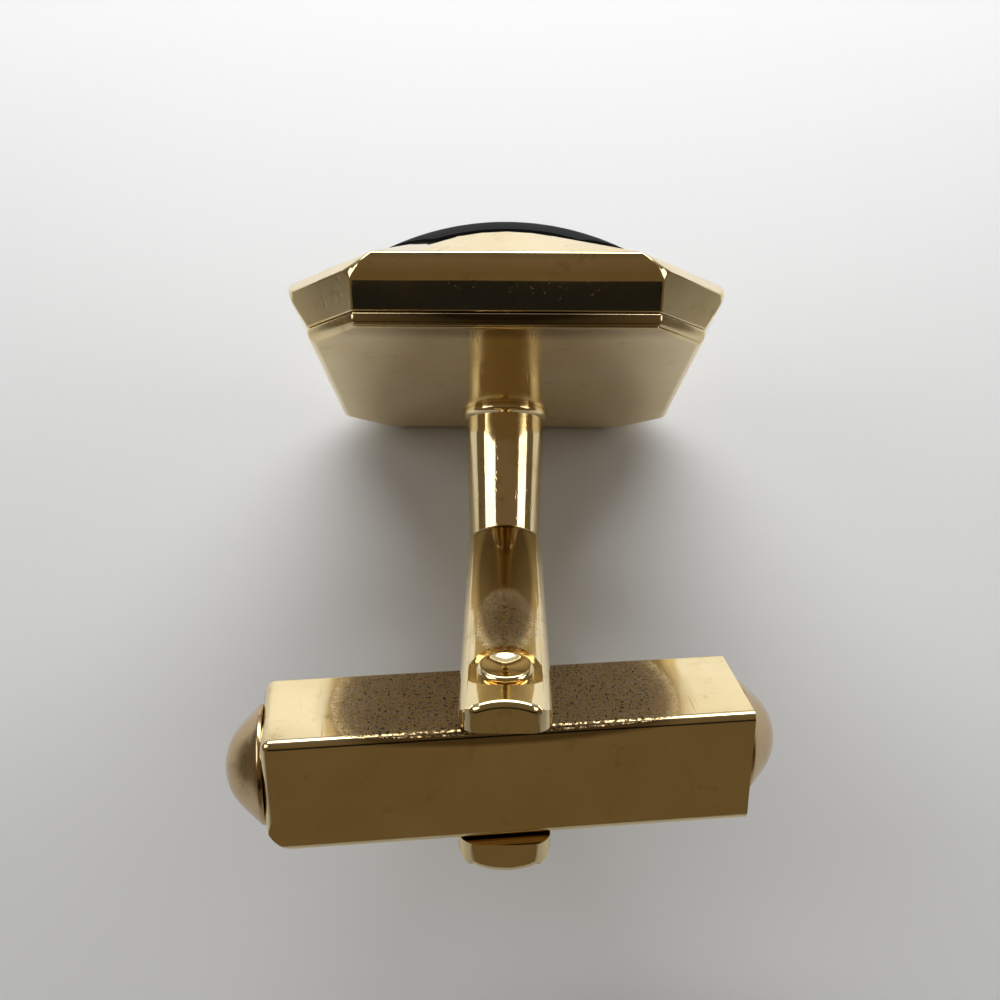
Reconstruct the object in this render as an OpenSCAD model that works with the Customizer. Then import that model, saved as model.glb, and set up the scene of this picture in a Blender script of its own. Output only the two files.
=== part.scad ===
// Swivel-bar cufflink with an eight-sided head and a black domed stone.
// Each piece is drawn in the head's own frame: X along the head's top edge, Y up along the
// head, Z out of its back. The whole is then stood on the table as it rests in use.

/* [Head] */
// Width and height of the head at its rim
head_w = 17.8; // [17:0.1:18.6]
// Corner cut of the rim where the corner facets meet the walls
head_corner_w = 2.9; // [2.5:0.1:3.2]
// Corner cut of the rim where the face border starts
face_corner_w = 3.7; // [3.4:0.1:4]
// How far each wall draws in from the rim to the back edge
wall_draw_w = 0.9; // [0.7:0.01:1]
// Corner cut of the back edge
seam_corner_w = 2.03; // [1.8:0.01:2.2]
// Depth from the back edge to the rim at the corner facets
facet_depth = 1.42; // [1.3:0.02:1.6]
// Depth from the back edge to the rim along the sides
wall_depth = 2.1; // [1.95:0.05:2.25]
// Depth from the back edge to the front of the border
face_depth = 3.8; // [3.6:0.05:4]
// Width of the sloping border from the rim to the window
border_w = 2; // [1.8:0.05:2.2]
// Sheet of the shell
shell_t = 0.5; // [0.4:0.05:0.6]

/* [Stone] */
// Corner cut of the window
window_corner_w = 4; // [3.6:0.1:4.2]
// Strip of border round the window that follows the dome of the stone
window_strip_w = 0.2; // [0.15:0.05:0.3]
// Rise of the dome from the middle of a side to the crown
crown_rise = 2.23; // [2:0.01:2.5]
// How far the stone stands out of the border at the middle of a side
stone_proud = 0.07; // [0.05:0.01:0.12]
// How far the girdle reaches under the border
girdle_reach = 0.6; // [0.5:0.05:0.65]
// Height of the straight side of the girdle
girdle_t = 0.45; // [0.35:0.05:0.5]
// Depth from the back edge to the flat underside of the stone
bed_depth = 1.55; // [1.4:0.05:1.6]

/* [Back plate] */
// Height of the plate over the back edge
panel_rise = 0.6; // [0.5:0.02:0.7]
// Radius of the rolled edge of the plate
roll_r = 0.4; // [0.3:0.02:0.45]
// Sheet of the plate
plate_t = 0.45; // [0.35:0.05:0.5]
// Depth of the step that locates the plate inside the shell
step_depth = 0.7; // [0.5:0.05:0.8]

/* [Post] */
// Distance of the post's axis from the lower edge of the head's back
post_edge = 2.97; // [2.8:0.01:3.2]
// Diameter of the post over its foot
post_root_d = 3.74; // [3.6:0.02:3.9]
// Diameter of the post from the crank on
post_tip_d = 3.3; // [3.2:0.02:3.34]
// Diameter of the flared foot
foot_d = 4.12; // [4.06:0.02:4.3]
// Straight edge of the foot
foot_edge = 0.12; // [0.1:0.01:0.2]
// Radius of the flare of the foot
foot_fillet = 0.3; // [0.26:0.02:0.36]
// Distance from the back edge to the point where the centre lines of the crank meet
crank_h = 8.1; // [7.9:0.05:8.4]
// Angle of the crank
crank_deg = 57; // [56:0.1:58.5]
// Bend radius of the crank at the middle of the post
crank_r = 2.3; // [2.1:0.05:2.4]
// Diameter of the spigot in the web of the fork
spigot_d = 2.2; // [2:0.05:2.3]

/* [Fork] */
// Width of the strip
strip_w = 3.26; // [3.2:0.02:3.4]
// Thickness of the strip at its crest
strip_t = 1.2; // [1.16:0.01:1.24]
// Radius of the strip's crowned outside
crest_r = 2.6; // [2.4:0.1:3]
// Radius of the strip's rounded shoulders
shoulder_r = 0.6; // [0.5:0.05:0.65]
// Inner radius of the bends
bend_r = 0.5; // [0.4:0.05:0.6]
// Distance from the crank to the inner face of the web
web_s = 2.95; // [2.9:0.05:3.1]
// Distance from the crank to the pivot
pivot_s = 15.5; // [15.2:0.05:15.8]
// How far the arms run past the pivot
arm_end = 2.55; // [2.45:0.05:2.7]
// Corner radius of the arms' ends
arm_corner_r = 0.8; // [0.6:0.05:0.9]
// Clearance between each arm and the bar
arm_gap = 0.08; // [0.06:0.01:0.1]
// Diameter of the spot face round the pivot
seat_d = 2.8; // [2.6:0.05:3]
// Depth of the spot face
seat_depth = 0.35; // [0.3:0.01:0.4]

/* [Pivot] */
// Diameter of the pin
pin_d = 1.5; // [1.4:0.02:1.56]
// Diameter of the heads
pin_head_d = 2.04; // [1.9:0.02:2.2]
// Straight edge of the heads
pin_head_edge = 0.1; // [0.08:0.01:0.14]
// Height of the domes on the heads
pin_dome = 0.32; // [0.26:0.01:0.36]
// Width of the squared middle of the pin
cam_w = 1.12; // [1.1:0.01:1.18]
// Length of the squared middle of the pin
cam_len = 2.9; // [2.7:0.05:3]
// Radial running clearance of the bar on the pin
pin_clear = 0.04; // [0.03:0.01:0.06]

/* [Bar] */
// Length of the square sleeve
bar_len = 17; // [16.8:0.1:17.4]
// Width and height of the square sleeve
bar_w = 4.4; // [4.34:0.02:4.48]
// Sheet of the sleeve
bar_t = 0.45; // [0.4:0.01:0.5]
// Radius of the long edges
edge_r = 0.3; // [0.2:0.05:0.4]
// Radius of the worn corner at the left end
worn_r = 1.3; // [1:0.05:1.4]
// Turn of the bar from square to the fork, as it rests
rest_turn_deg = 7; // [0:1:12]
// Diameter of the end caps
cap_d = 4.2; // [4.1:0.02:4.2]
// Straight edge of the end caps
cap_edge = 0.15; // [0.1:0.01:0.2]
// Length of the cone of the end caps
cap_cone = 0.65; // [0.5:0.05:0.7]
// Half angle of the cone
cap_deg = 45; // [42:1:48]
// Length of the plugs of the end caps
plug_len = 1.6; // [1.4:0.1:2]

/* [Spring] */
// Thickness of the leaf spring
leaf_t = 0.2; // [0.15:0.01:0.22]
// Width of the leaf spring
leaf_w = 2.4; // [2:0.1:2.8]
// Length of the leaf spring
leaf_len = 8; // [7.4:0.1:8.4]

/* [Hidden] */
$fn = 72;
// Clearance of parts that are pressed or laid together
snug = 0.02;
// Overrun of every cut
over = 0.6;
// The straight lengths run this far into a bend, which is this much thinner than they are
lap = 0.02;
bend_step = 0.004;
// Distance that centres the standing object on the table
stand_shift = 7.977;

// Width that a facet of a cut corner loses for each unit that all its sides move in
inset_share = 2 - sqrt(2);

seam_w = head_w - 2 * wall_draw_w;
window_w = head_w - 2 * border_w;
seam_flare = wall_draw_w / facet_depth;

// The border's inner edge follows a dome that lies just under that of the stone
crown_depth = face_depth + stone_proud + crown_rise;
dome_r = (pow(window_w / 2, 2) + crown_rise * crown_rise) / (2 * crown_rise);
dome_centre_h = dome_r - crown_depth;
border_dome_r = norm([window_w / 2, dome_centre_h + face_depth]);
face_slope = (face_depth - wall_depth) / (border_w - window_strip_w);
border_t = shell_t * sqrt(1 + face_slope * face_slope);
inner_corner_depth = wall_depth - border_t + shell_t * face_slope;
side_steps = 6;

// Steps of the back plate, each drawn in this far from the edge of the head's back
step_inset = shell_t + snug;
pan_inset = step_inset + plate_t;
pan_floor = panel_rise - plate_t;
roll_steps = 4;

post_drop = seam_w / 2 - post_edge;
post_tip_r = post_tip_d / 2;
crank_leg = crank_r * tan(crank_deg / 2);
crank_start_h = crank_h - crank_leg;
saddle_share = 0.6;
saddle_s = web_s - strip_t + saddle_share * strip_t;

arm_in = bar_w / 2 + arm_gap;
strip_half_w = strip_w / 2;
// The shoulders run into the crown without a crease
shoulder_x = strip_half_w - shoulder_r;
shoulder_y = strip_t - crest_r + sqrt(pow(crest_r - shoulder_r, 2) - shoulder_x * shoulder_x);
crest_half_w = shoulder_x * crest_r / (crest_r - shoulder_r);
bend_s = web_s + bend_r;
bend_h = arm_in - bend_r;
arm_end_s = pivot_s + arm_end;
seat_h = arm_in + strip_t - seat_depth;

pin_head_r = pin_head_d / 2;
pin_dome_r = (pin_head_r * pin_head_r + pin_dome * pin_dome) / (2 * pin_dome);

bar_inner_w = bar_w - 2 * bar_t;
plug_w = bar_inner_w - 2 * snug;
inner_edge_r = edge_r / 3;
nose_r0 = cap_d / 2 - cap_cone * tan(cap_deg);
nose_r = nose_r0 / cos(cap_deg);

// The leaf bows from the wall of the sleeve to just clear of the squared pin
leaf_near = pin_d / 2 + pin_clear;
leaf_sag = bar_inner_w / 2 - leaf_near - leaf_t - snug;
leaf_r = (pow(leaf_len / 2, 2) + leaf_sag * leaf_sag) / (2 * leaf_sag);

// The head stands on the lower edge of its rim and on the outside of the crank
crank_out_r = crank_r + post_tip_r;
rest_run = crank_start_h + facet_depth;
rest_rise = head_w / 2 - post_drop + crank_r;
lean = atan2(rest_rise, rest_run) - asin(crank_out_r / norm([rest_run, rest_rise]));
lift = head_w / 2 * cos(lean) - facet_depth * sin(lean);

// Corner points of a square of width w with its corners cut by c
function oct_points(w, c) =
    let (a = w / 2, b = w / 2 - c)
    [[b, -a], [a, -b], [a, b], [b, a], [-b, a], [-a, b], [-a, -b], [-b, -a]];

// One level of a stack: width, corner cut and height, drawn in by t on every side
function level(w, c, h, t = 0) = [w - 2 * t, c - inset_share * t, h];

// A level of the head's back at height h, drawn in by t
function back_level(h, t) = level(seam_w, seam_corner_w, h, t);

// Solid through levels that rise from the first to the last
module stack(levels) {
    sides = 8;
    n = len(levels);
    points = [for (l = levels) for (p = oct_points(l[0], l[1])) [p[0], p[1], l[2]]];
    walls = [for (i = [0 : n - 2]) for (j = [0 : sides - 1])
        let (k = (j + 1) % sides)
        [i * sides + k, i * sides + j, (i + 1) * sides + j, (i + 1) * sides + k]];
    bottom = [for (j = [0 : sides - 1]) j];
    top = [for (j = [0 : sides - 1]) n * sides - 1 - j];
    polyhedron(points = points, faces = concat([bottom, top], walls));
}

// Height at a point of the dome that the border's inner edge follows
function dome_height(p) =
    dome_centre_h - sqrt(border_dome_r * border_dome_r - p[0] * p[0] - p[1] * p[1]);

// Points round a level, with every side in equal steps
function level_steps(l) = let (p = oct_points(l[0], l[1]))
    [for (j = [0 : 7]) for (i = [0 : side_steps - 1]) p[j] + (p[(j + 1) % 8] - p[j]) * i / side_steps];

// Solid like a stack, with a face in front of its first level that slopes up to a window
// whose edge follows the dome, all of that edge lowered by drop
module domed_stack(levels, drop = 0) {
    sides = 8;
    n = len(levels);
    ring = sides * side_steps;
    inner = level_steps(level(window_w, window_corner_w, 0, over));
    edge = level_steps(level(window_w, window_corner_w, 0, -window_strip_w));
    rim = level_steps(levels[0]);
    points = concat([[0, 0, drop - face_depth]],
        [for (p = inner) [p[0], p[1], dome_height(p) + drop]],
        [for (p = edge) [p[0], p[1], dome_height(p) + drop]],
        [for (p = rim) [p[0], p[1], levels[0][2]]],
        [for (i = [1 : n - 1]) for (p = oct_points(levels[i][0], levels[i][1])) [p[0], p[1], levels[i][2]]]);
    cap = [for (j = [0 : ring - 1]) [0, 1 + j, 1 + (j + 1) % ring]];
    slopes = [for (i = [0 : 1]) for (j = [0 : ring - 1])
        let (k = (j + 1) % ring, a = 1 + i * ring, b = a + ring)
        each [[a + k, a + j, b + j], [a + k, b + j, b + k]]];
    rim_0 = 1 + 2 * ring;
    back_0 = rim_0 + ring;
    rim_walls = [for (j = [0 : sides - 1])
        let (near = back_0 + j, far = back_0 + (j + 1) % sides)
        each concat([for (i = [0 : side_steps - 1])
                         [rim_0 + (j * side_steps + i + 1) % ring, rim_0 + j * side_steps + i, near]],
                    [[rim_0 + (j + 1) * side_steps % ring, near, far]])];
    back_walls = [for (i = [0 : 1 : n - 3]) for (j = [0 : sides - 1])
        let (k = (j + 1) % sides, a = back_0 + i * sides)
        [a + k, a + j, a + sides + j, a + sides + k]];
    top = [for (j = [0 : sides - 1]) back_0 + (n - 1) * sides - 1 - j];
    polyhedron(points = points, faces = concat(cap, slopes, rim_walls, back_walls, [top]));
}

// Places the head's frame on the table
module stand() {
    translate([0, stand_shift, lift]) rotate([90 + lean, 0, 0]) children();
}

// Frame of the fork: X across, Y along the arms from the crank, Z along the pivot, lower arm up
module in_fork() {
    translate([0, -post_drop, crank_h]) rotate([90 - crank_deg, 0, 0]) children();
}

// Frame of the bar: X along it, Z along the pivot
module in_bar() {
    in_fork() translate([0, pivot_s, 0]) rotate([0, 0, -rest_turn_deg]) children();
}

// Both sides of the fork
module both_arms() {
    children();
    mirror([0, 0, 1]) children();
}

module front_shell() {
    mouth = level(seam_w, seam_corner_w, over, shell_t + over * seam_flare);
    color([0.80, 0.62, 0.30]) stand() difference() {
        domed_stack([level(head_w, face_corner_w, -wall_depth),
                     level(head_w, head_corner_w, -facet_depth), level(seam_w, seam_corner_w, 0)]);
        domed_stack([level(head_w, face_corner_w, -inner_corner_depth, shell_t),
                     level(head_w, head_corner_w, -facet_depth + shell_t * seam_flare, shell_t), mouth],
                    border_t);
        stack([level(window_w, window_corner_w, -crown_depth - over),
               level(window_w, window_corner_w, -facet_depth)]);
    }
}

module stone() {
    girdle_top = bed_depth + girdle_t;
    shoulder_top = girdle_top + girdle_reach * face_slope;
    color([0.03, 0.03, 0.04]) stand() intersection() {
        stack([level(window_w, window_corner_w, -crown_depth - over, snug),
               level(window_w, window_corner_w, -shoulder_top, snug),
               level(window_w, window_corner_w, -girdle_top, -girdle_reach),
               level(window_w, window_corner_w, -bed_depth, -girdle_reach)]);
        translate([0, 0, dome_centre_h]) sphere(r = dome_r);
    }
}

module stone_bed() {
    color([0.62, 0.55, 0.42]) stand()
        stack([back_level(-bed_depth, pan_inset + snug), back_level(pan_floor, pan_inset + snug)]);
}

module back_plate() {
    roll = [for (i = [0 : roll_steps]) let (a = 90 * i / roll_steps)
        back_level(panel_rise - roll_r * (1 - sin(a)), roll_r * (1 - cos(a)))];
    color([0.74, 0.56, 0.28]) stand() difference() {
        union() {
            stack(concat([back_level(snug, 0)], roll));
            stack([back_level(-step_depth, step_inset), back_level(panel_rise - roll_r, step_inset)]);
        }
        stack([back_level(-step_depth - over, pan_inset), back_level(pan_floor, pan_inset)]);
    }
}

module post_stem() {
    spigot_s = (crank_leg + web_s - strip_t) / 2;
    saddle_len = 2 * (arm_in + over);
    color([0.83, 0.65, 0.33]) stand() {
        translate([0, -post_drop, panel_rise]) {
            cylinder(d1 = post_root_d, d2 = post_tip_d, h = crank_start_h + lap - panel_rise);
            rotate_extrude() difference() {
                square([foot_d / 2, foot_edge + foot_fillet]);
                translate([foot_d / 2, foot_edge + foot_fillet]) circle(r = foot_fillet);
            }
        }
        translate([0, crank_r - post_drop, crank_start_h]) rotate([0, 90, 0])
            rotate([0, 0, -90 - crank_deg]) rotate_extrude(angle = crank_deg)
                translate([crank_r, 0]) circle(r = post_tip_r - bend_step);
        in_fork() {
            difference() {
                translate([0, crank_leg - lap, 0]) rotate([-90, 0, 0])
                    cylinder(r = post_tip_r, h = saddle_s + lap - crank_leg);
                translate([0, web_s, -saddle_len / 2])
                    linear_extrude(height = saddle_len) mirror([0, 1]) strip_profile();
            }
            translate([0, spigot_s, 0]) rotate([-90, 0, 0])
                cylinder(d = spigot_d, h = web_s - spigot_s);
        }
    }
}

// Cross-section of the strip, flat side on the X axis
module strip_profile() {
    translate([-strip_half_w, 0]) square([strip_w, shoulder_y]);
    for (x = [-1, 1]) translate([x * shoulder_x, shoulder_y]) circle(r = shoulder_r);
    intersection() {
        translate([0, strip_t - crest_r]) circle(r = crest_r);
        translate([-crest_half_w, 0]) square([2 * crest_half_w, strip_t]);
    }
}

// Outline of an arm from above, with its two rounded end corners
module arm_plan() {
    corner_s = arm_end_s - arm_corner_r;
    translate([-strip_half_w, bend_s]) square([2 * strip_half_w, corner_s - bend_s]);
    translate([arm_corner_r - strip_half_w, bend_s])
        square([2 * (strip_half_w - arm_corner_r), arm_end_s - bend_s]);
    for (x = [-1, 1])
        translate([x * (strip_half_w - arm_corner_r), corner_s]) circle(r = arm_corner_r);
}

module fork_arm() {
    difference() {
        intersection() {
            translate([0, arm_end_s, arm_in]) rotate([90, 0, 0])
                linear_extrude(height = arm_end_s - bend_s) strip_profile();
            translate([0, 0, arm_in]) linear_extrude(height = strip_t) arm_plan();
        }
        translate([0, pivot_s, seat_h]) cylinder(d = seat_d, h = seat_depth + over);
        translate([0, pivot_s, arm_in - over]) cylinder(d = pin_d, h = strip_t + 2 * over);
    }
    translate([0, bend_s, bend_h]) rotate([0, 90, 0]) rotate([0, 0, 180])
        rotate_extrude(angle = 90) translate([bend_r, 0]) rotate([0, 0, -90]) strip_profile();
}

module fork() {
    color([0.83, 0.65, 0.33]) stand() in_fork() {
        both_arms() fork_arm();
        difference() {
            translate([0, web_s, -bend_h]) linear_extrude(height = 2 * bend_h)
                mirror([0, 1]) strip_profile();
            translate([0, web_s - strip_t - over, 0]) rotate([-90, 0, 0])
                cylinder(d = spigot_d, h = strip_t + 2 * over);
        }
    }
}

module pin_head() {
    translate([0, 0, seat_h]) {
        cylinder(d = pin_head_d, h = pin_head_edge);
        intersection() {
            translate([0, 0, pin_head_edge + pin_dome - pin_dome_r]) sphere(r = pin_dome_r);
            cylinder(d = pin_head_d, h = pin_head_edge + pin_dome + over);
        }
    }
}

module pivot_pin() {
    color([0.80, 0.60, 0.28]) stand() in_fork() translate([0, pivot_s, 0]) {
        both_arms() {
            pin_head();
            translate([0, 0, cam_len / 2]) cylinder(d = pin_d, h = seat_h - cam_len / 2);
        }
        intersection() {
            cylinder(d = pin_d, h = cam_len, center = true);
            cube([cam_w, cam_w, cam_len], center = true);
        }
    }
}

// Square with rounded corners
module round_square(w, r) {
    square([w, w - 2 * r], center = true);
    square([w - 2 * r, w], center = true);
    for (x = [-1, 1], y = [-1, 1])
        translate([x * (w / 2 - r), y * (w / 2 - r)]) circle(r = r);
}

// What is worn off the lower corner at the left end of the bar
module worn_corner() {
    translate([-bar_len / 2, 0, bar_w / 2]) rotate([90, 0, 0])
        linear_extrude(height = bar_w + 2 * over, center = true) difference() {
            translate([-over, -worn_r]) square([worn_r + over, worn_r + over]);
            translate([worn_r, -worn_r]) circle(r = worn_r);
        }
}

module bar_sleeve() {
    color([0.80, 0.62, 0.30]) stand() in_bar() difference() {
        rotate([90, 0, 90]) linear_extrude(height = bar_len, center = true) difference() {
            round_square(bar_w, edge_r);
            round_square(bar_inner_w, inner_edge_r);
        }
        cylinder(d = pin_d + 2 * pin_clear, h = bar_w + 2 * over, center = true);
        worn_corner();
    }
}

// Domed cap on the end of the bar, its plug inside the sleeve
module end_cap() {
    translate([bar_len / 2, 0, 0]) rotate([0, 90, 0]) {
        cylinder(d = cap_d, h = cap_edge);
        translate([0, 0, cap_edge]) cylinder(r1 = cap_d / 2, r2 = nose_r0, h = cap_cone);
        intersection() {
            translate([0, 0, cap_edge + cap_cone - nose_r * sin(cap_deg)]) sphere(r = nose_r);
            translate([0, 0, cap_edge + cap_cone]) cylinder(r = nose_r0, h = nose_r);
        }
        translate([0, 0, -plug_len / 2]) cube([plug_w, plug_w, plug_len], center = true);
    }
}

module left_end_cap() {
    color([0.78, 0.58, 0.28]) stand() in_bar() difference() {
        mirror([1, 0, 0]) end_cap();
        intersection() {
            worn_corner();
            translate([-bar_len / 2, -bar_w, -bar_w]) cube([bar_len, 2 * bar_w, 2 * bar_w]);
        }
    }
}

module right_end_cap() {
    color([0.78, 0.58, 0.28]) stand() in_bar() end_cap();
}

module detent_spring() {
    color([0.55, 0.56, 0.58]) stand() in_bar() intersection() {
        translate([0, leaf_near + leaf_t + leaf_r, 0]) difference() {
            cylinder(r = leaf_r + leaf_t, h = leaf_w, center = true);
            cylinder(r = leaf_r, h = leaf_w + 2 * over, center = true);
        }
        translate([0, bar_inner_w / 4, 0])
            cube([leaf_len, bar_inner_w / 2 - snug, leaf_w], center = true);
    }
}

front_shell();
stone();
stone_bed();
back_plate();
post_stem();
fork();
pivot_pin();
bar_sleeve();
left_end_cap();
right_end_cap();
detent_spring();
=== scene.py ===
import bpy
import math
from mathutils import Matrix, Vector


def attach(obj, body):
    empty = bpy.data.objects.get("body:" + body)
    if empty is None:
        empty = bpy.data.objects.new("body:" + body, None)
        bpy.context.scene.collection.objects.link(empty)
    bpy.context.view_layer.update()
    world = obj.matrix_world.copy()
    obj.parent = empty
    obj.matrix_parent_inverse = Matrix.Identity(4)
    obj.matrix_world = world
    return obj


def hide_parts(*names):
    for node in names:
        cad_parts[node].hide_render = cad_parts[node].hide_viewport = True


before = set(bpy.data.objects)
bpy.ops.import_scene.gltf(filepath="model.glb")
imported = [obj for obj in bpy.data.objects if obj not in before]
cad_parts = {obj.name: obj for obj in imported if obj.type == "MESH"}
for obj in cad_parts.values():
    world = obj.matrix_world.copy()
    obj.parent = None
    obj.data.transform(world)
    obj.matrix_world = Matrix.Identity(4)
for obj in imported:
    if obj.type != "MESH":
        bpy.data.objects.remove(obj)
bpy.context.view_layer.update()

scene = bpy.context.scene
scene.view_settings.view_transform = "Standard"

# how the cufflink stands: millimetres and degrees, as in the CAD source
stance = {"lean": 14.215, "lift": 8.279, "shift": 7.977, "postDrop": 5.03, "crankHeight": 8.1,
          "crankAngle": 57.0, "pivotReach": 15.5, "restTurn": 7.0}
mm = 0.001


def turn(degrees, axis):
    return Matrix.Rotation(math.radians(degrees), 4, axis)


# head frame: X across, Y up the head, Z out of its back; the others hang from it
headFrame = (Matrix.Scale(mm, 4) @ Matrix.Translation((0, stance["shift"], stance["lift"]))
             @ turn(90 + stance["lean"], "X"))
forkFrame = (headFrame @ Matrix.Translation((0, -stance["postDrop"], stance["crankHeight"]))
             @ turn(90 - stance["crankAngle"], "X"))
barFrame = (forkFrame @ Matrix.Translation((0, stance["pivotReach"], 0))
            @ turn(-stance["restTurn"], "Z"))

# camera: close above the bar, looking down over the head; distances in millimetres
view = {"lens": 45, "sensor": 36, "tilt": 79.15, "away": 56.1, "rise": 5.76, "side": -0.22, "roll": 0.3,
        "near": 0.001, "far": 10}  # near and far in metres
tilt = math.radians(view["tilt"] - stance["lean"])
roll = math.radians(view["roll"])
forward = Vector((0, math.cos(tilt), -math.sin(tilt)))
down = Vector((0, -math.sin(tilt), -math.cos(tilt)))
across = Vector((1, 0, 0))
cameraAcross = across * math.cos(roll) - down * math.sin(roll)
cameraDown = down * math.cos(roll) + across * math.sin(roll)
seamCentre = Vector((0, stance["shift"], stance["lift"]))
eye = (seamCentre - forward * view["away"] + down * view["rise"] + across * view["side"]) * mm
cameraData = bpy.data.cameras.new("camera")
cameraData.sensor_width = view["sensor"]
cameraData.lens = view["lens"]
cameraData.clip_start = view["near"]
cameraData.clip_end = view["far"]
camera = bpy.data.objects.new("camera", cameraData)
scene.collection.objects.link(camera)
turned = Matrix((cameraAcross, -cameraDown, -forward)).transposed().to_4x4()
camera.matrix_world = Matrix.Translation(eye) @ turned
scene.camera = camera
print("camera set")


# small tools
def hexColour(code):
    code = code.lstrip("#")
    parts = [int(code[i:i + 2], 16) / 255 for i in (0, 2, 4)]
    linear = [c / 12.92 if c <= 0.04045 else ((c + 0.055) / 1.055) ** 2.4 for c in parts]
    return (*linear, 1)


def addNode(tree, kind, settings=None, links=None):
    node = tree.nodes.new(kind)
    for name, value in (settings or {}).items():
        if name in node.inputs:
            node.inputs[name].default_value = value
        else:
            setattr(node, name, value)
    for name, source in (links or {}).items():
        tree.links.new(source, node.inputs[name])
    return node


def pickNone():
    for picked in bpy.context.selected_objects:
        picked.select_set(False)


def pickOnly(obj):
    pickNone()
    obj.select_set(True)
    bpy.context.view_layer.objects.active = obj


def editMode(obj):
    pickOnly(obj)
    bpy.ops.object.mode_set(mode="EDIT")
    bpy.ops.mesh.select_all(action="SELECT")


def objectMode():
    bpy.ops.object.mode_set(mode="OBJECT")


def nameNew(name):
    # the primitive just added, with its place and turn taken into its mesh
    obj = bpy.context.active_object
    obj.name = name
    pickOnly(obj)
    bpy.ops.object.transform_apply(location=True, rotation=True, scale=True)
    return obj


def placeIn(obj, place):
    pickOnly(obj)
    obj.matrix_world = place @ obj.matrix_world
    bpy.ops.object.transform_apply(location=True, rotation=True, scale=True)


def applyModifier(obj, kind, **settings):
    pickOnly(obj)
    modifier = obj.modifiers.new(kind.title(), kind)
    for name, value in settings.items():
        setattr(modifier, name, value)
    bpy.ops.object.modifier_apply(modifier=modifier.name)


def smoothShade(obj, degrees):
    # wide faces keep their own direction, so that the bevels carry the whole turn
    pickOnly(obj)
    bpy.ops.object.shade_smooth_by_angle(angle=math.radians(degrees))
    applyModifier(obj, "WEIGHTED_NORMAL", keep_sharp=True, weight=80)


def roundPicked(width, steps):
    bpy.ops.mesh.bevel(offset=width, offset_type="OFFSET", segments=steps, affect="EDGES",
                       clamp_overlap=False)
    objectMode()


def polishedCopy(node, name, look, roundEdges=None):
    # a copy of a CAD node with flat faces made whole, the picked edges rounded and all edges softened
    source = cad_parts[node]
    piece = source.copy()
    piece.data = source.data.copy()
    piece.name = name
    piece.parent = None
    for key in list(piece.keys()):
        del piece[key]
    piece.data.materials.clear()
    scene.collection.objects.link(piece)
    editMode(piece)
    bpy.ops.mesh.remove_doubles(threshold=2e-6)
    bpy.ops.mesh.dissolve_limited(angle_limit=math.radians(0.5))
    objectMode()
    if roundEdges:
        pickEdges(piece, roundEdges)
        roundPicked(look["round"] * mm, 6)
    applyModifier(piece, "BEVEL", width=look["edge"] * mm, segments=look["steps"], limit_method="ANGLE",
                  angle_limit=math.radians(look["sharp"]), harden_normals=False)
    smoothShade(piece, look["smooth"])
    return piece


def growRing(rise, before, after, centre=(0, 0, 0)):
    # the picked face is drawn out along Z and scaled from one radius to the next
    bpy.ops.mesh.extrude_region_move(TRANSFORM_OT_translate={"value": (0, 0, rise)})
    bpy.ops.transform.resize(value=(after / before, after / before, 1), center_override=centre)


def trimAt(point, outward, fill):
    # everything beyond the plane through the point is cut away
    bpy.ops.mesh.select_all(action="SELECT")
    bpy.ops.mesh.bisect(plane_co=point, plane_no=outward, use_fill=fill, clear_outer=True)


def pickFaces(obj, test):
    editMode(obj)
    bpy.ops.mesh.select_mode(type="FACE")
    bpy.ops.mesh.select_all(action="DESELECT")
    objectMode()
    for face in obj.data.polygons:
        face.select = test(face)
    bpy.ops.object.mode_set(mode="EDIT")


def pickEdges(obj, test):
    # the test is given the middle of the edge and the angle between its two faces
    editMode(obj)
    bpy.ops.mesh.select_mode(type="EDGE")
    bpy.ops.mesh.select_all(action="DESELECT")
    objectMode()
    mesh = obj.data
    sides = {}
    for face in mesh.polygons:
        for key in face.edge_keys:
            sides.setdefault(key, []).append(face.normal.copy())
    for edge in mesh.edges:
        middle = (mesh.vertices[edge.vertices[0]].co + mesh.vertices[edge.vertices[1]].co) / 2
        normals = sides.get(edge.key, [])
        edge.select = len(normals) == 2 and test(middle, normals[0].angle(normals[1], 0))
    bpy.ops.object.mode_set(mode="EDIT")


def mergeAndTurnOut(obj):
    editMode(obj)
    bpy.ops.mesh.remove_doubles(threshold=1e-4)
    bpy.ops.mesh.normals_make_consistent(inside=False)
    objectMode()


def drill(piece, radius, depth, height, sides):
    # a round cutter on the pivot's axis is taken out of the piece
    pickNone()
    bpy.ops.mesh.primitive_cylinder_add(vertices=sides, radius=radius, depth=depth,
                                        location=(0, stance["pivotReach"], height))
    cutter = bpy.context.active_object
    applyModifier(piece, "BOOLEAN", operation="DIFFERENCE", solver="EXACT", object=cutter)
    bpy.data.objects.remove(cutter)


# materials
def patternOn(tree, place, size, stretch=(1, 1, 1), twist=(0, 0, 0)):
    # object coordinates turned into a piece's own frame and counted in millimetres
    coordinates = addNode(tree, "ShaderNodeTexCoord")
    back = place.inverted()
    turned = addNode(tree, "ShaderNodeMapping", {
        "Location": back.to_translation(), "Rotation": back.to_euler("XYZ"),
        "Scale": back.to_scale()}, {"Vector": coordinates.outputs["Object"]})
    return addNode(tree, "ShaderNodeMapping", {
        "Rotation": [math.radians(a) for a in twist],
        "Scale": [s / size for s in stretch]}, {"Vector": turned.outputs["Vector"]})


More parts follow.
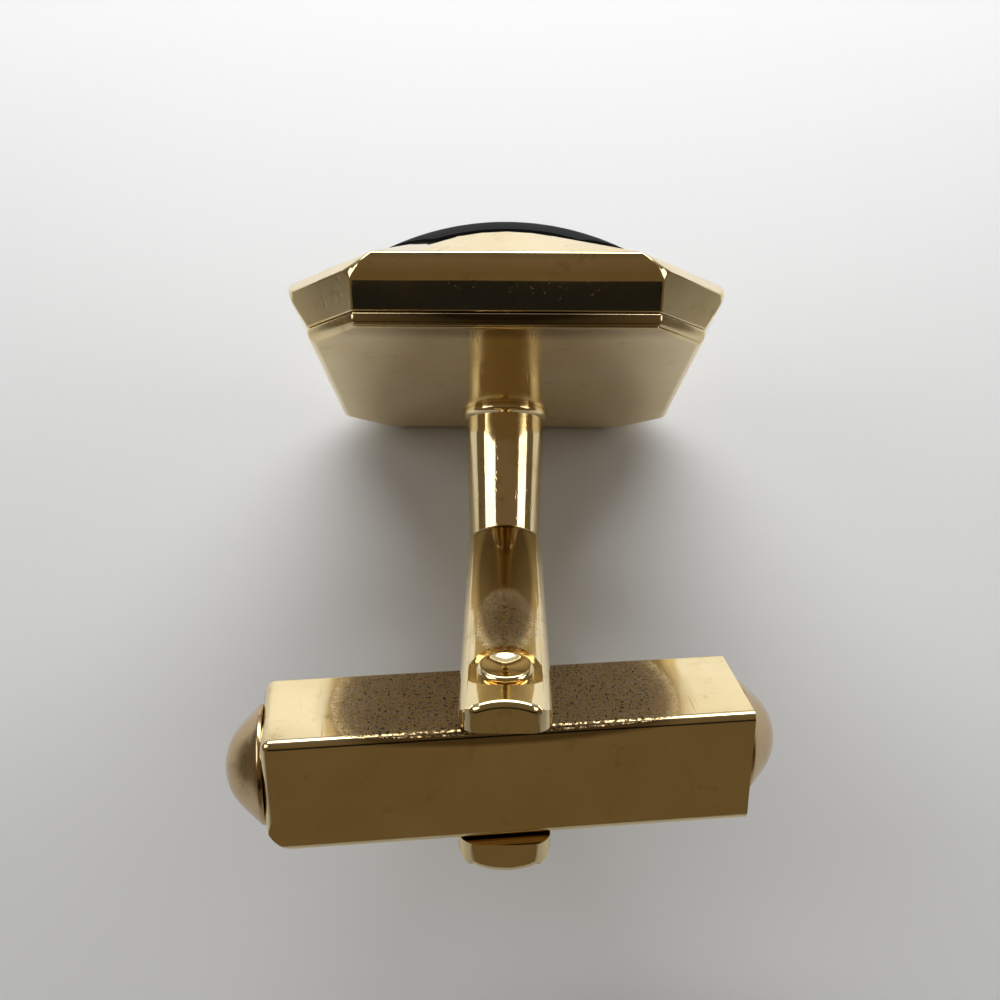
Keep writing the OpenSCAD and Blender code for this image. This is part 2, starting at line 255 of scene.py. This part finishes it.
# sizes in millimetres, depths in metres; a span is the part of the noise that a pattern takes
goldPlate = {
    # the tarnish tone serves brown stains and painted shade; the dirt tone serves dirt in pits and painted
    # shade
    "bright": "#F6E2B2", "deep": "#D8B673", "tarnishAndPaintedShade": "#6E5028", "dirtAndPaintedShade": "#2E2114",
    # patches of thicker and thinner plating
    "cloudSize": 3.5, "cloudSpan": (0.4, 0.7), "cloudShare": 0.35,
    # small brown stains
    "grimeSize": 1.1, "grimeSpan": (0.56, 0.74), "grimeShare": 0.5,
    # two sets of hairline scratches that cross each other, drawn wider than real so that they show
    "scratchSize": 0.18, "scratchSpan": (0.64, 0.72), "scratchStrength": 0.16, "scratchDepth": 0.00001,
    "scratchSets": (((0, 0, 38), (1, 0.07, 0.5)), ((0, 0, -52), (1, 0.1, 0.5))),
    # the hand-polished surface is never quite flat
    "waveSize": 5.0, "waveStrength": 0.5, "waveDepth": 0.00012,
    "roughLow": 0.05, "roughHigh": 0.13, "roughSpan": (0.3, 0.75),
    # places of painted shade and painted reflection: centre, reach, share and tone, solid out to the core's
    # share of the reach
    "paintedLightSpots": (), "paintedLightCore": 0.84,
    # pitted places: centre and reach
    "pitted": (), "pitCore": 0.84, "pitSize": 0.13, "pitSpan": (0.5, 0.58), "pitShare": 0.9,
    "pitDepth": 0.00003}


def makeGoldPlate(name, place, changes=None):
    look = {**goldPlate, **(changes or {})}
    material = bpy.data.materials.new(name)
    material.use_nodes = True
    tree = material.node_tree
    shader = tree.nodes["Principled BSDF"]
    shader.inputs["Metallic"].default_value = 1.0

    clouds = addNode(tree, "ShaderNodeTexNoise", {"Scale": 1.0, "Detail": 5.0, "Roughness": 0.6}, {
        "Vector": patternOn(tree, place, look["cloudSize"]).outputs["Vector"]})
    cloudRange = addNode(tree, "ShaderNodeMapRange", {
        "From Min": look["cloudSpan"][0], "From Max": look["cloudSpan"][1],
        "To Min": 0.0, "To Max": look["cloudShare"]}, {"Value": clouds.outputs["Fac"]})
    plating = addNode(tree, "ShaderNodeMix", {"data_type": "RGBA"}, {0: cloudRange.outputs["Result"]})
    plating.inputs[6].default_value = hexColour(look["bright"])
    plating.inputs[7].default_value = hexColour(look["deep"])

    grime = addNode(tree, "ShaderNodeTexNoise", {"Scale": 1.0, "Detail": 8.0, "Roughness": 0.75}, {
        "Vector": patternOn(tree, place, look["grimeSize"]).outputs["Vector"]})
    grimeRange = addNode(tree, "ShaderNodeMapRange", {
        "From Min": look["grimeSpan"][0], "From Max": look["grimeSpan"][1],
        "To Min": 0.0, "To Max": look["grimeShare"]}, {"Value": grime.outputs["Fac"]})
    coloured = addNode(tree, "ShaderNodeMix", {"data_type": "RGBA"}, {
        0: grimeRange.outputs["Result"], 6: plating.outputs[2]})
    coloured.inputs[7].default_value = hexColour(look["tarnishAndPaintedShade"])

    lines = None
    for twist, stretch in look["scratchSets"]:
        hair = addNode(tree, "ShaderNodeTexNoise", {"Scale": 1.0, "Detail": 2.0}, {
            "Vector": patternOn(tree, place, look["scratchSize"], stretch, twist).outputs["Vector"]})
        thin = addNode(tree, "ShaderNodeMapRange", {
            "From Min": look["scratchSpan"][0], "From Max": look["scratchSpan"][1]},
            {"Value": hair.outputs["Fac"]})
        if lines is None:
            lines = thin.outputs["Result"]
        else:
            lines = addNode(tree, "ShaderNodeMath", {"operation": "MAXIMUM"}, {
                0: lines, 1: thin.outputs["Result"]}).outputs["Value"]

    roughness = addNode(tree, "ShaderNodeMapRange", {
        "From Min": look["roughSpan"][0], "From Max": look["roughSpan"][1],
        "To Min": look["roughLow"], "To Max": look["roughHigh"]}, {"Value": clouds.outputs["Fac"]})
    tree.links.new(roughness.outputs["Result"], shader.inputs["Roughness"])

    waves = addNode(tree, "ShaderNodeTexNoise", {"Scale": 1.0, "Detail": 1.0}, {
        "Vector": patternOn(tree, place, look["waveSize"]).outputs["Vector"]})
    waveBump = addNode(tree, "ShaderNodeBump", {
        "Strength": look["waveStrength"], "Distance": look["waveDepth"]}, {"Height": waves.outputs["Fac"]})
    lineBump = addNode(tree, "ShaderNodeBump", {
        "Strength": look["scratchStrength"], "Distance": look["scratchDepth"], "invert": True}, {
        "Height": lines, "Normal": waveBump.outputs["Normal"]})

    # painted shade and painted reflections darken the listed spots; pitted places are worn, with fine pits
    # and specks
    here = patternOn(tree, place, 1.0).outputs["Vector"]

    def spotMask(spot, reach, core):
        moved = addNode(tree, "ShaderNodeVectorMath", {"operation": "SUBTRACT"}, {0: here})
        moved.inputs[1].default_value = spot
        scaled = addNode(tree, "ShaderNodeVectorMath", {"operation": "DIVIDE"}, {0: moved.outputs["Vector"]})
        scaled.inputs[1].default_value = reach
        away = addNode(tree, "ShaderNodeVectorMath", {"operation": "LENGTH"}, {0: scaled.outputs["Vector"]})
        return addNode(tree, "ShaderNodeMapRange", {"From Min": 1.0, "From Max": core},
                       {"Value": away.outputs["Value"]}).outputs["Result"]

    def blendIn(base, mask, share, code):
        amount = addNode(tree, "ShaderNodeMath", {"operation": "MULTIPLY"}, {0: mask})
        amount.inputs[1].default_value = share
        mixed = addNode(tree, "ShaderNodeMix", {"data_type": "RGBA"}, {0: amount.outputs["Value"], 6: base})
        mixed.inputs[7].default_value = hexColour(code)
        return mixed.outputs[2]

    tone = coloured.outputs[2]
    # these spots paint shade and dark reflections into the plating colour
    for spot, reach, share, paintedTone in look["paintedLightSpots"]:
        tone = blendIn(tone, spotMask(spot, reach, look["paintedLightCore"]), share, look[paintedTone])
    normal = lineBump.outputs["Normal"]
    pits = addNode(tree, "ShaderNodeTexNoise", {"Scale": 1.0, "Detail": 4.0, "Roughness": 0.75}, {
        "Vector": patternOn(tree, place, look["pitSize"]).outputs["Vector"]})
    deep = addNode(tree, "ShaderNodeMapRange", {
        "From Min": look["pitSpan"][0], "From Max": look["pitSpan"][1]}, {"Value": pits.outputs["Fac"]})
    for spot, reach in look["pitted"]:
        pitted = addNode(tree, "ShaderNodeMath", {"operation": "MULTIPLY"}, {
            0: spotMask(spot, reach, look["pitCore"]), 1: deep.outputs["Result"]}).outputs["Value"]
        tone = blendIn(tone, pitted, look["pitShare"], look["dirtAndPaintedShade"])
        normal = addNode(tree, "ShaderNodeBump", {
            "Strength": 1.0, "Distance": look["pitDepth"], "invert": True}, {
            "Height": pitted, "Normal": normal}).outputs["Normal"]
    tree.links.new(tone, shader.inputs["Base Color"])
    tree.links.new(normal, shader.inputs["Normal"])
    return material


def makeMottled(name, place, look):
    # a dark and a light tone drifting into each other along a stretched grain
    material = bpy.data.materials.new(name)
    material.use_nodes = True
    tree = material.node_tree
    shader = tree.nodes["Principled BSDF"]
    grain = addNode(tree, "ShaderNodeTexNoise", {"Scale": 1.0, "Detail": look["detail"]}, {
        "Vector": patternOn(tree, place, look["size"], look["stretch"]).outputs["Vector"]})
    tone = addNode(tree, "ShaderNodeMix", {"data_type": "RGBA"}, {0: grain.outputs["Fac"]})
    tone.inputs[6].default_value = hexColour(look["dark"])
    tone.inputs[7].default_value = hexColour(look["light"])
    tree.links.new(tone.outputs[2], shader.inputs["Base Color"])
    return material, tree, shader, grain


def makePlain(name, code, roughness):
    material = bpy.data.materials.new(name)
    material.use_nodes = True
    shader = material.node_tree.nodes["Principled BSDF"]
    shader.inputs["Base Color"].default_value = hexColour(code)
    shader.inputs["Roughness"].default_value = roughness
    return material, material.node_tree, shader


def dress(piece, material):
    piece.data.materials.clear()
    piece.data.materials.append(material)


# polished plate: near-mirror pale gold with faint hairlines, on the shell, post and rivet
polishedGold = makeGoldPlate("goldPlatedBrassPolished", headFrame)
# satin plate: softer reflections, with painted shade along its top edge and painted shade darkening the
# seam, on the back plate
satinGold = makeGoldPlate("goldPlatedBrassSatin", headFrame, {
    "roughLow": 0.11, "roughHigh": 0.22, "cloudSize": 6.0, "grimeShare": 0.35, "waveStrength": 0.4,
    "paintedLightCore": 0.35,
    # painted shade: a darker band along the top edge and a near-black band in the seam
    "paintedLightSpots": (((0.0, 7.6, 0.6), (9.0, 1.3, 0.4), 0.6, "tarnishAndPaintedShade"),
               ((0.0, 8.15, 0.1), (9.0, 0.7, 0.8), 0.95, "dirtAndPaintedShade"))})
# bar plate: a painted reflection of the head darkens the field round the pivot, which is also pitted, so the
# ends stay bright
barGold = makeGoldPlate("goldPlatedBrassPaintedReflection", barFrame, {
    "roughLow": 0.06, "roughHigh": 0.14, "grimeShare": 0.45,
    # painted reflection of the head across the bar's top face
    "paintedLightSpots": (((0.0, 0.0, -2.4), (7.0, 6.0, 0.9), 0.7, "tarnishAndPaintedShade"),),
    "pitted": (((0.0, 0.0, -2.32), (6.8, 6.0, 0.3)),)})
# fork plate: painted shade and reflection darken a stripe down the arm, with a pitted end near the rivet
forkGold = makeGoldPlate("goldPlatedBrassArmPaintedReflection", forkFrame, {
    # painted shade and reflection of the head along the arm's crest
    "paintedLightSpots": (((0.0, 8.0, -3.5), (1.25, 7.5, 1.0), 0.7, "tarnishAndPaintedShade"),),
    "pitCore": 0.2,
    "pitted": (((0.0, 12.0, -3.5), (1.3, 2.9, 1.0)),)})
# dulled plate: tan and cloudy, worn by the cuff, on the end caps
capGold = makeGoldPlate("goldPlatedBrassDulled", barFrame, {
    "bright": "#CFB58C", "deep": "#A88A5C", "roughLow": 0.14, "roughHigh": 0.24})

# polished onyx: dense black with a clear, glassy skin that goes dull at a glancing look
onyx, onyxTree, onyxShader, veins = makeMottled("onyxPolished", headFrame, {
    "size": 4.0, "stretch": (1, 0.3, 1), "detail": 6.0, "dark": "#060607", "light": "#141416"})
onyxShader.inputs["IOR"].default_value = 1.54
onyxShader.inputs["Specular IOR Level"].default_value = 0.16
glance = addNode(onyxTree, "ShaderNodeLayerWeight", {"Blend": 0.5})
onyxRough = addNode(onyxTree, "ShaderNodeMapRange", {
    "From Min": 0.45, "From Max": 0.7, "To Min": 0.07, "To Max": 0.9}, {"Value": glance.outputs["Facing"]})
onyxTree.links.new(onyxRough.outputs["Result"], onyxShader.inputs["Roughness"])

# millboard: grey-brown pressed paper, matt and slightly mottled
millboard, boardTree, boardShader, fibres = makeMottled("millboardPressed", headFrame, {
    "size": 0.5, "stretch": (1, 0.4, 1), "detail": 8.0, "dark": "#8A7B63", "light": "#BBAE93"})
boardShader.inputs["Roughness"].default_value = 0.9

# spring steel strip: bluish grey, rolled along its length
springSteel, steelTree, steelShader, rolled = makeMottled("springSteelRolled", barFrame, {
    "size": 0.2, "stretch": (0.05, 1, 1), "detail": 4.0, "dark": "#9FA3A8", "light": "#C4C8CC"})
steelShader.inputs["Metallic"].default_value = 1.0
steelRough = addNode(steelTree, "ShaderNodeMapRange", {
    "To Min": 0.2, "To Max": 0.4}, {"Value": rolled.outputs["Fac"]})
steelTree.links.new(steelRough.outputs["Result"], steelShader.inputs["Roughness"])
print("materials made")

# head: pressed shell and the plate that closes it
shellLook = {"edge": 0.13, "steps": 4, "sharp": 12, "smooth": 35, "round": 0.5,
             "rimDepth": 1.42, "rimReach": 8.8, "near": 0.05}
plateLook = {"edge": 0.12, "steps": 3, "sharp": 12, "smooth": 35}
headBack = headFrame.inverted()


def onWallTop(middle, angle):
    # the long outer edges where the drawn-in walls turn into the rim
    spot = headBack @ middle
    return (abs(spot.z + shellLook["rimDepth"]) < shellLook["near"]
            and max(abs(spot.x), abs(spot.y)) > shellLook["rimReach"])


shell = polishedCopy("front_shell", "shell_polished", shellLook, onWallTop)
dress(shell, polishedGold)
plate = polishedCopy("back_plate", "plate_satin", plateLook)
dress(plate, satinGold)

# stone: a low dome cut to eight sides
stoneCut = {"domeRadius": 11.79, "crown": 6.1, "width": 13.76, "corner": 3.99, "underside": 1.56,
            "segments": 160, "rings": 120, "smooth": 30}
bpy.ops.mesh.primitive_uv_sphere_add(
    segments=stoneCut["segments"], ring_count=stoneCut["rings"], radius=stoneCut["domeRadius"],
    location=(0, 0, stoneCut["domeRadius"] - stoneCut["crown"]))
stone = nameNew("stone_dome")
editMode(stone)
trimUnder = Vector((0, 0, -stoneCut["underside"]))
trimAt(trimUnder, (0, 0, 1), True)
half = stoneCut["width"] / 2
cornerReach = (stoneCut["width"] - stoneCut["corner"]) / math.sqrt(2)
for i in range(8):
    reach = half if i % 2 == 0 else cornerReach
    side = Vector((math.cos(i * math.pi / 4), math.sin(i * math.pi / 4), 0))
    trimAt(side * reach, side, True)
objectMode()
smoothShade(stone, stoneCut["smooth"])
placeIn(stone, headFrame)
dress(stone, onyx)
print("head made")

# post: one drawn rod, flared at its foot and cranked near its end
post = {"rootRadius": 1.87, "tipRadius": 1.65, "footRadius": 2.06, "footEdge": 0.12, "flare": 0.3,
        "flareSteps": 8, "foot": 0.61, "bend": 2.3, "bendSteps": 20, "end": 2.4, "sides": 96, "smooth": 50}
crank = math.radians(stance["crankAngle"])
leg = post["bend"] * math.tan(crank / 2)
bendStart = stance["crankHeight"] - leg
axisAt = (0, -stance["postDrop"], 0)
pickNone()
bpy.ops.mesh.primitive_circle_add(vertices=post["sides"], radius=post["footRadius"], fill_type="NGON",
                                  location=(0, -stance["postDrop"], post["foot"]))
rod = nameNew("post_rod")
editMode(rod)
radius = post["footRadius"]
growRing(post["footEdge"], radius, radius, axisAt)
flareTurns = [math.radians(90) * (1 - i / post["flareSteps"]) for i in range(post["flareSteps"] + 1)]
for last, sweep in zip(flareTurns, flareTurns[1:]):
    after = max(post["footRadius"] + post["flare"] * (math.sin(sweep) - 1), post["rootRadius"])
    growRing(post["flare"] * (math.cos(sweep) - math.cos(last)), radius, after, axisAt)
    radius = after
growRing(bendStart - post["foot"] - post["footEdge"] - post["flare"], radius, post["tipRadius"], axisAt)
bpy.ops.mesh.spin(steps=post["bendSteps"], angle=crank,
                  center=(0, post["bend"] - stance["postDrop"], bendStart), axis=(1, 0, 0))
bpy.ops.mesh.extrude_region_move(TRANSFORM_OT_translate={"value": (
    0, (post["end"] - leg) * math.sin(crank), (post["end"] - leg) * math.cos(crank))})
mergeAndTurnOut(rod)
smoothShade(rod, post["smooth"])
placeIn(rod, headFrame)
dress(rod, polishedGold)
print("post made")

# fork: crowned strip with rounded shoulders, bent twice
fork = {"crestRadius": 2.6, "crestSides": 128, "thick": 1.2, "halfWidth": 1.63, "shoulder": 0.6,
        "shoulderCuts": 9, "armIn": 2.28, "bend": 0.5, "bendSteps": 18, "web": 2.95, "armEnd": 18.05,
        "cornerRadius": 0.8, "cornerCuts": 8, "seatRadius": 1.4, "seatDepth": 0.35, "pinRadius": 0.76,
        "endEdge": 0.26, "endFrom": 0.02, "endHalfWidth": 1.2, "endRise": 0.05, "endSharp": 45,
        "softEdge": 0.06, "softSharp": 38, "smooth": 32}
bendAt = fork["web"] + fork["bend"]
bendUp = fork["armIn"] - fork["bend"]
crestCentre = fork["armIn"] + fork["thick"] - fork["crestRadius"]
pickNone()
bpy.ops.mesh.primitive_circle_add(
    vertices=fork["crestSides"], radius=fork["crestRadius"], fill_type="NGON",
    location=(0, fork["armEnd"], crestCentre), rotation=(math.pi / 2, 0, 0))
yoke = nameNew("fork_yoke")
editMode(yoke)
bpy.ops.mesh.bisect(plane_co=(0, 0, fork["armIn"]), plane_no=(0, 0, 1), clear_inner=True)
shoulderX = fork["halfWidth"] - fork["shoulder"]
shoulderRise = math.sqrt((fork["crestRadius"] - fork["shoulder"]) ** 2 - shoulderX ** 2)
for side in (-1, 1):
    centre = Vector((side * shoulderX, fork["armEnd"], crestCentre + shoulderRise))
    for i in range(fork["shoulderCuts"]):
        angle = math.atan2(shoulderRise, shoulderX) * i / fork["shoulderCuts"]
        away = Vector((side * math.cos(angle), 0, math.sin(angle)))
        trimAt(centre + away * fork["shoulder"], away, False)
bpy.ops.mesh.select_all(action="SELECT")
bpy.ops.mesh.extrude_region_move(TRANSFORM_OT_translate={"value": (0, bendAt - fork["armEnd"], 0)})
bpy.ops.mesh.spin(steps=fork["bendSteps"], angle=math.radians(-90), center=(0, bendAt, bendUp),
                  axis=(1, 0, 0))
bpy.ops.mesh.extrude_region_move(TRANSFORM_OT_translate={"value": (0, 0, -bendUp)})
bpy.ops.mesh.delete(type="FACE")
for side in (-1, 1):
    centre = Vector((side * (fork["halfWidth"] - fork["cornerRadius"]),
                     fork["armEnd"] - fork["cornerRadius"], 0))
    for i in range(1, fork["cornerCuts"]):
        angle = math.radians(90 * i / fork["cornerCuts"])
        away = Vector((side * math.cos(angle), math.sin(angle), 0))
        trimAt(centre + away * fork["cornerRadius"], away, True)
objectMode()
applyModifier(yoke, "MIRROR", use_axis=(False, False, True), merge_threshold=1e-3)
mergeAndTurnOut(yoke)
seat = fork["armIn"] + fork["thick"] - fork["seatDepth"]
for side in (-1, 1):
    drill(yoke, fork["seatRadius"], 2, side * (seat + 1), 96)
    drill(yoke, fork["pinRadius"], 3, side * seat, 48)


def onArmEnd(middle, angle):
    # the outer edges of both arm ends, clear of their corners
    return (middle.y > fork["armEnd"] - fork["cornerRadius"] + fork["endFrom"]
            and abs(middle.x) < fork["endHalfWidth"]
            and abs(middle.z) > fork["armIn"] + fork["endRise"]
            and angle > math.radians(fork["endSharp"]))


pickEdges(yoke, onArmEnd)
roundPicked(fork["endEdge"], 5)
applyModifier(yoke, "BEVEL", width=fork["softEdge"], segments=3, limit_method="ANGLE",
              angle_limit=math.radians(fork["softSharp"]))
smoothShade(yoke, fork["smooth"])
placeIn(yoke, forkFrame)
dress(yoke, forkGold)
print("fork made")

# pin: a rivet with low heads, each dished by the punch that set it
pin = {"radius": 0.75, "sides": 72, "headRadius": 1.02, "edge": 0.1, "lip": 0.03, "rimReach": 0.16,
       "rimRise": 0.26, "rimSteps": 7, "dishRadius": 0.82, "dishFloor": 0.16, "dishSteps": 10,
       "dishCurve": 1.7, "dishStart": 0.01, "seat": 3.13, "smooth": 40}
pickNone()
bpy.ops.mesh.primitive_circle_add(vertices=pin["sides"], radius=pin["radius"], fill_type="NGON",
                                  location=(0, 0, 0))
rivet = nameNew("pivot_rivet")
editMode(rivet)
growRing(pin["seat"], pin["radius"], pin["radius"])
growRing(0, pin["radius"], pin["headRadius"] - pin["lip"])
growRing(pin["lip"], pin["headRadius"] - pin["lip"], pin["headRadius"])
growRing(pin["edge"] - pin["lip"], pin["headRadius"], pin["headRadius"])
radius, height = pin["headRadius"], pin["edge"]
rings = []
for i in range(1, pin["rimSteps"] + 1):
    sweep = math.radians(90 * i / pin["rimSteps"])
    rings.append((pin["headRadius"] - pin["rimReach"] * (1 - math.cos(sweep)),
                  pin["edge"] + pin["rimRise"] * math.sin(sweep)))
dishDepth = rings[-1][1] - pin["dishStart"] - pin["dishFloor"]
for i in range(pin["dishSteps"]):
    share = 1 - i / pin["dishSteps"]
    rings.append((pin["dishRadius"] * share, pin["dishFloor"] + dishDepth * share ** pin["dishCurve"]))
for ringRadius, ringHeight in rings:
    growRing(ringHeight - height, radius, ringRadius)
    radius, height = ringRadius, ringHeight
objectMode()
pickFaces(rivet, lambda face: abs(face.center.z) < 1e-4 and abs(face.normal.z) > 0.9)
bpy.ops.mesh.delete(type="FACE")
objectMode()
applyModifier(rivet, "MIRROR", use_axis=(False, False, True), merge_threshold=1e-3)
mergeAndTurnOut(rivet)
smoothShade(rivet, pin["smooth"])
placeIn(rivet, forkFrame @ Matrix.Translation((0, stance["pivotReach"], 0)))
dress(rivet, polishedGold)

# bar: folded sleeve with a plug in each end
sleeveLook = {"edge": 0.06, "steps": 3, "sharp": 32, "smooth": 35, "round": 0.38,
              "endFrom": -8.45, "outside": 1.95}
capLook = {"edge": 0.05, "steps": 3, "sharp": 38, "smooth": 30}
barBack = barFrame.inverted()


def onLeftEnd(middle, angle):
    # the outer edges of the bar's worn left end
    spot = barBack @ middle
    return (spot.x < sleeveLook["endFrom"] and max(abs(spot.y), abs(spot.z)) > sleeveLook["outside"]
            and angle > math.radians(sleeveLook["sharp"]))


sleeve = polishedCopy("bar_sleeve", "sleeve_folded", sleeveLook, onLeftEnd)
dress(sleeve, barGold)
leftCap = polishedCopy("left_end_cap", "cap_left", capLook)
dress(leftCap, capGold)
rightCap = polishedCopy("right_end_cap", "cap_right", capLook)
dress(rightCap, capGold)
print("bar made")

dress(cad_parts["stone_bed"], millboard)
dress(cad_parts["detent_spring"], springSteel)

for piece, node, body, finish in (
        (shell, "front_shell", "head", "polished_gold"), (plate, "back_plate", "head", "satin_gold"),
        (stone, "stone", "head", "black_stone"), (rod, "post_stem", "head", "polished_gold"),
        (yoke, "fork", "head", "polished_gold"), (rivet, "pivot_pin", "head", "polished_gold"),
        (sleeve, "bar_sleeve", "bar", "polished_gold"), (leftCap, "left_end_cap", "bar", "polished_gold"),
        (rightCap, "right_end_cap", "bar", "polished_gold")):
    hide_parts(node)
    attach(piece, body)
print("pieces joined")

# floor: pale honed stone, matt enough to show no mirror image
ground = {"size": 1.6, "tone": "#CFD1D3", "roughness": 0.6, "fadeFrom": 0.04, "fadeTo": 0.11}  # metres
pickNone()
bpy.ops.mesh.primitive_plane_add(size=ground["size"], location=(0, 0, 0))
floor = bpy.context.active_object
floor.name = "floor"
floorMaterial, floorTree, floorShader = makePlain("paleStoneHoned", ground["tone"], ground["roughness"])
# beyond the lit patch the floor runs out into white, for the camera only
floorPlace = addNode(floorTree, "ShaderNodeTexCoord")
floorAway = addNode(floorTree, "ShaderNodeVectorMath", {"operation": "LENGTH"}, {
    0: floorPlace.outputs["Object"]})
floorEdge = addNode(floorTree, "ShaderNodeMapRange", {
    "From Min": ground["fadeFrom"], "From Max": ground["fadeTo"]}, {"Value": floorAway.outputs["Value"]})
floorSeen = addNode(floorTree, "ShaderNodeLightPath")
floorFade = addNode(floorTree, "ShaderNodeMath", {"operation": "MULTIPLY"}, {
    0: floorEdge.outputs["Result"], 1: floorSeen.outputs["Is Camera Ray"]})
whitePaper = addNode(floorTree, "ShaderNodeEmission", {"Color": (1, 1, 1, 1), "Strength": 1.0})
floorMix = addNode(floorTree, "ShaderNodeMixShader", {}, {
    0: floorFade.outputs["Value"], 1: floorShader.outputs["BSDF"], 2: whitePaper.outputs["Emission"]})
floorTree.links.new(floorMix.outputs["Shader"], floorTree.nodes["Material Output"].inputs["Surface"])
dress(floor, floorMaterial)

# light: one large soft lamp beyond the head, two narrow ones that draw the streaks on the post
lamps = {  # watts, width, height, place, aim, in metres, and spread in degrees
    "backWindow": (0.100, 0.17, 0.07, (0.0, 0.10, 0.085), (0, 0.045, 0.0), 112),
    "leftWindow": (0.045, 0.06, 0.112, (-0.09, 0.003, 0.104), (0, 0.003, 0.104), 180),
    "rightWindow": (0.026, 0.06, 0.062, (0.09, 0.003, 0.072), (0, 0.003, 0.072), 180)}
for name, (power, width, height, spot, aim, spread) in lamps.items():
    data = bpy.data.lights.new(name, "AREA")
    data.spread = math.radians(spread)
    data.shape = "RECTANGLE"
    data.size, data.size_y = width, height
    data.energy = power
    lamp = bpy.data.objects.new(name, data)
    lamp.location = spot
    lamp.rotation_euler = (Vector(aim) - Vector(spot)).to_track_quat("-Z", "Y").to_euler()
    scene.collection.objects.link(lamp)

# a dark card round the lens, which the polished metal reflects as it would the camera itself
card = {"width": 0.10, "above": -0.022, "below": 0.047, "behind": 0.003,  # metres from the lens
        "tone": "#0B0A09", "roughness": 0.8}
pickNone()
bpy.ops.mesh.primitive_plane_add(size=1, location=(0, 0, 0))
lensCard = bpy.context.active_object
lensCard.name = "lens_card"
lensCard.data.transform(Matrix.Translation(eye) @ turned @ Matrix.Translation(
    (0, (card["above"] - card["below"]) / 2, card["behind"]))
    @ Matrix.Diagonal((card["width"], card["above"] + card["below"], 1, 1)))
lensCard.visible_camera = False
dress(lensCard, makePlain("blackCardMatt", card["tone"], card["roughness"])[0])

# room: dim and warm on the camera's side, paler behind the head, white where the camera looks past the floor
roomStops = ((0.0, "#64553C"), (0.20, "#5E5038"), (0.44, "#6A5A46"), (0.54, "#5E5444"),
             (0.75, "#6E6A64"), (1.0, "#C8CBCE"))
world = bpy.data.worlds.new("room")
scene.world = world
world.use_nodes = True
room = world.node_tree
background = room.nodes["Background"]
direction = addNode(room, "ShaderNodeTexCoord")
split = addNode(room, "ShaderNodeSeparateXYZ", {}, {"Vector": direction.outputs["Generated"]})
depth = addNode(room, "ShaderNodeMapRange", {"From Min": -1.0, "From Max": 1.0}, {
    "Value": split.outputs["Y"]})
tone = addNode(room, "ShaderNodeValToRGB", {}, {"Fac": depth.outputs["Result"]})
roomTones = tone.color_ramp.elements
roomTones[0].color = hexColour(roomStops[0][1])
roomTones[1].color = hexColour(roomStops[-1][1])
for place, code in roomStops[1:-1]:
    roomTones.new(place).color = hexColour(code)
seen = addNode(room, "ShaderNodeLightPath")
pick = addNode(room, "ShaderNodeMix", {"data_type": "RGBA"}, {
    0: seen.outputs["Is Camera Ray"], 6: tone.outputs["Color"]})
pick.inputs[7].default_value = (1, 1, 1, 1)
room.links.new(pick.outputs[2], background.inputs["Color"])
print("stage set")
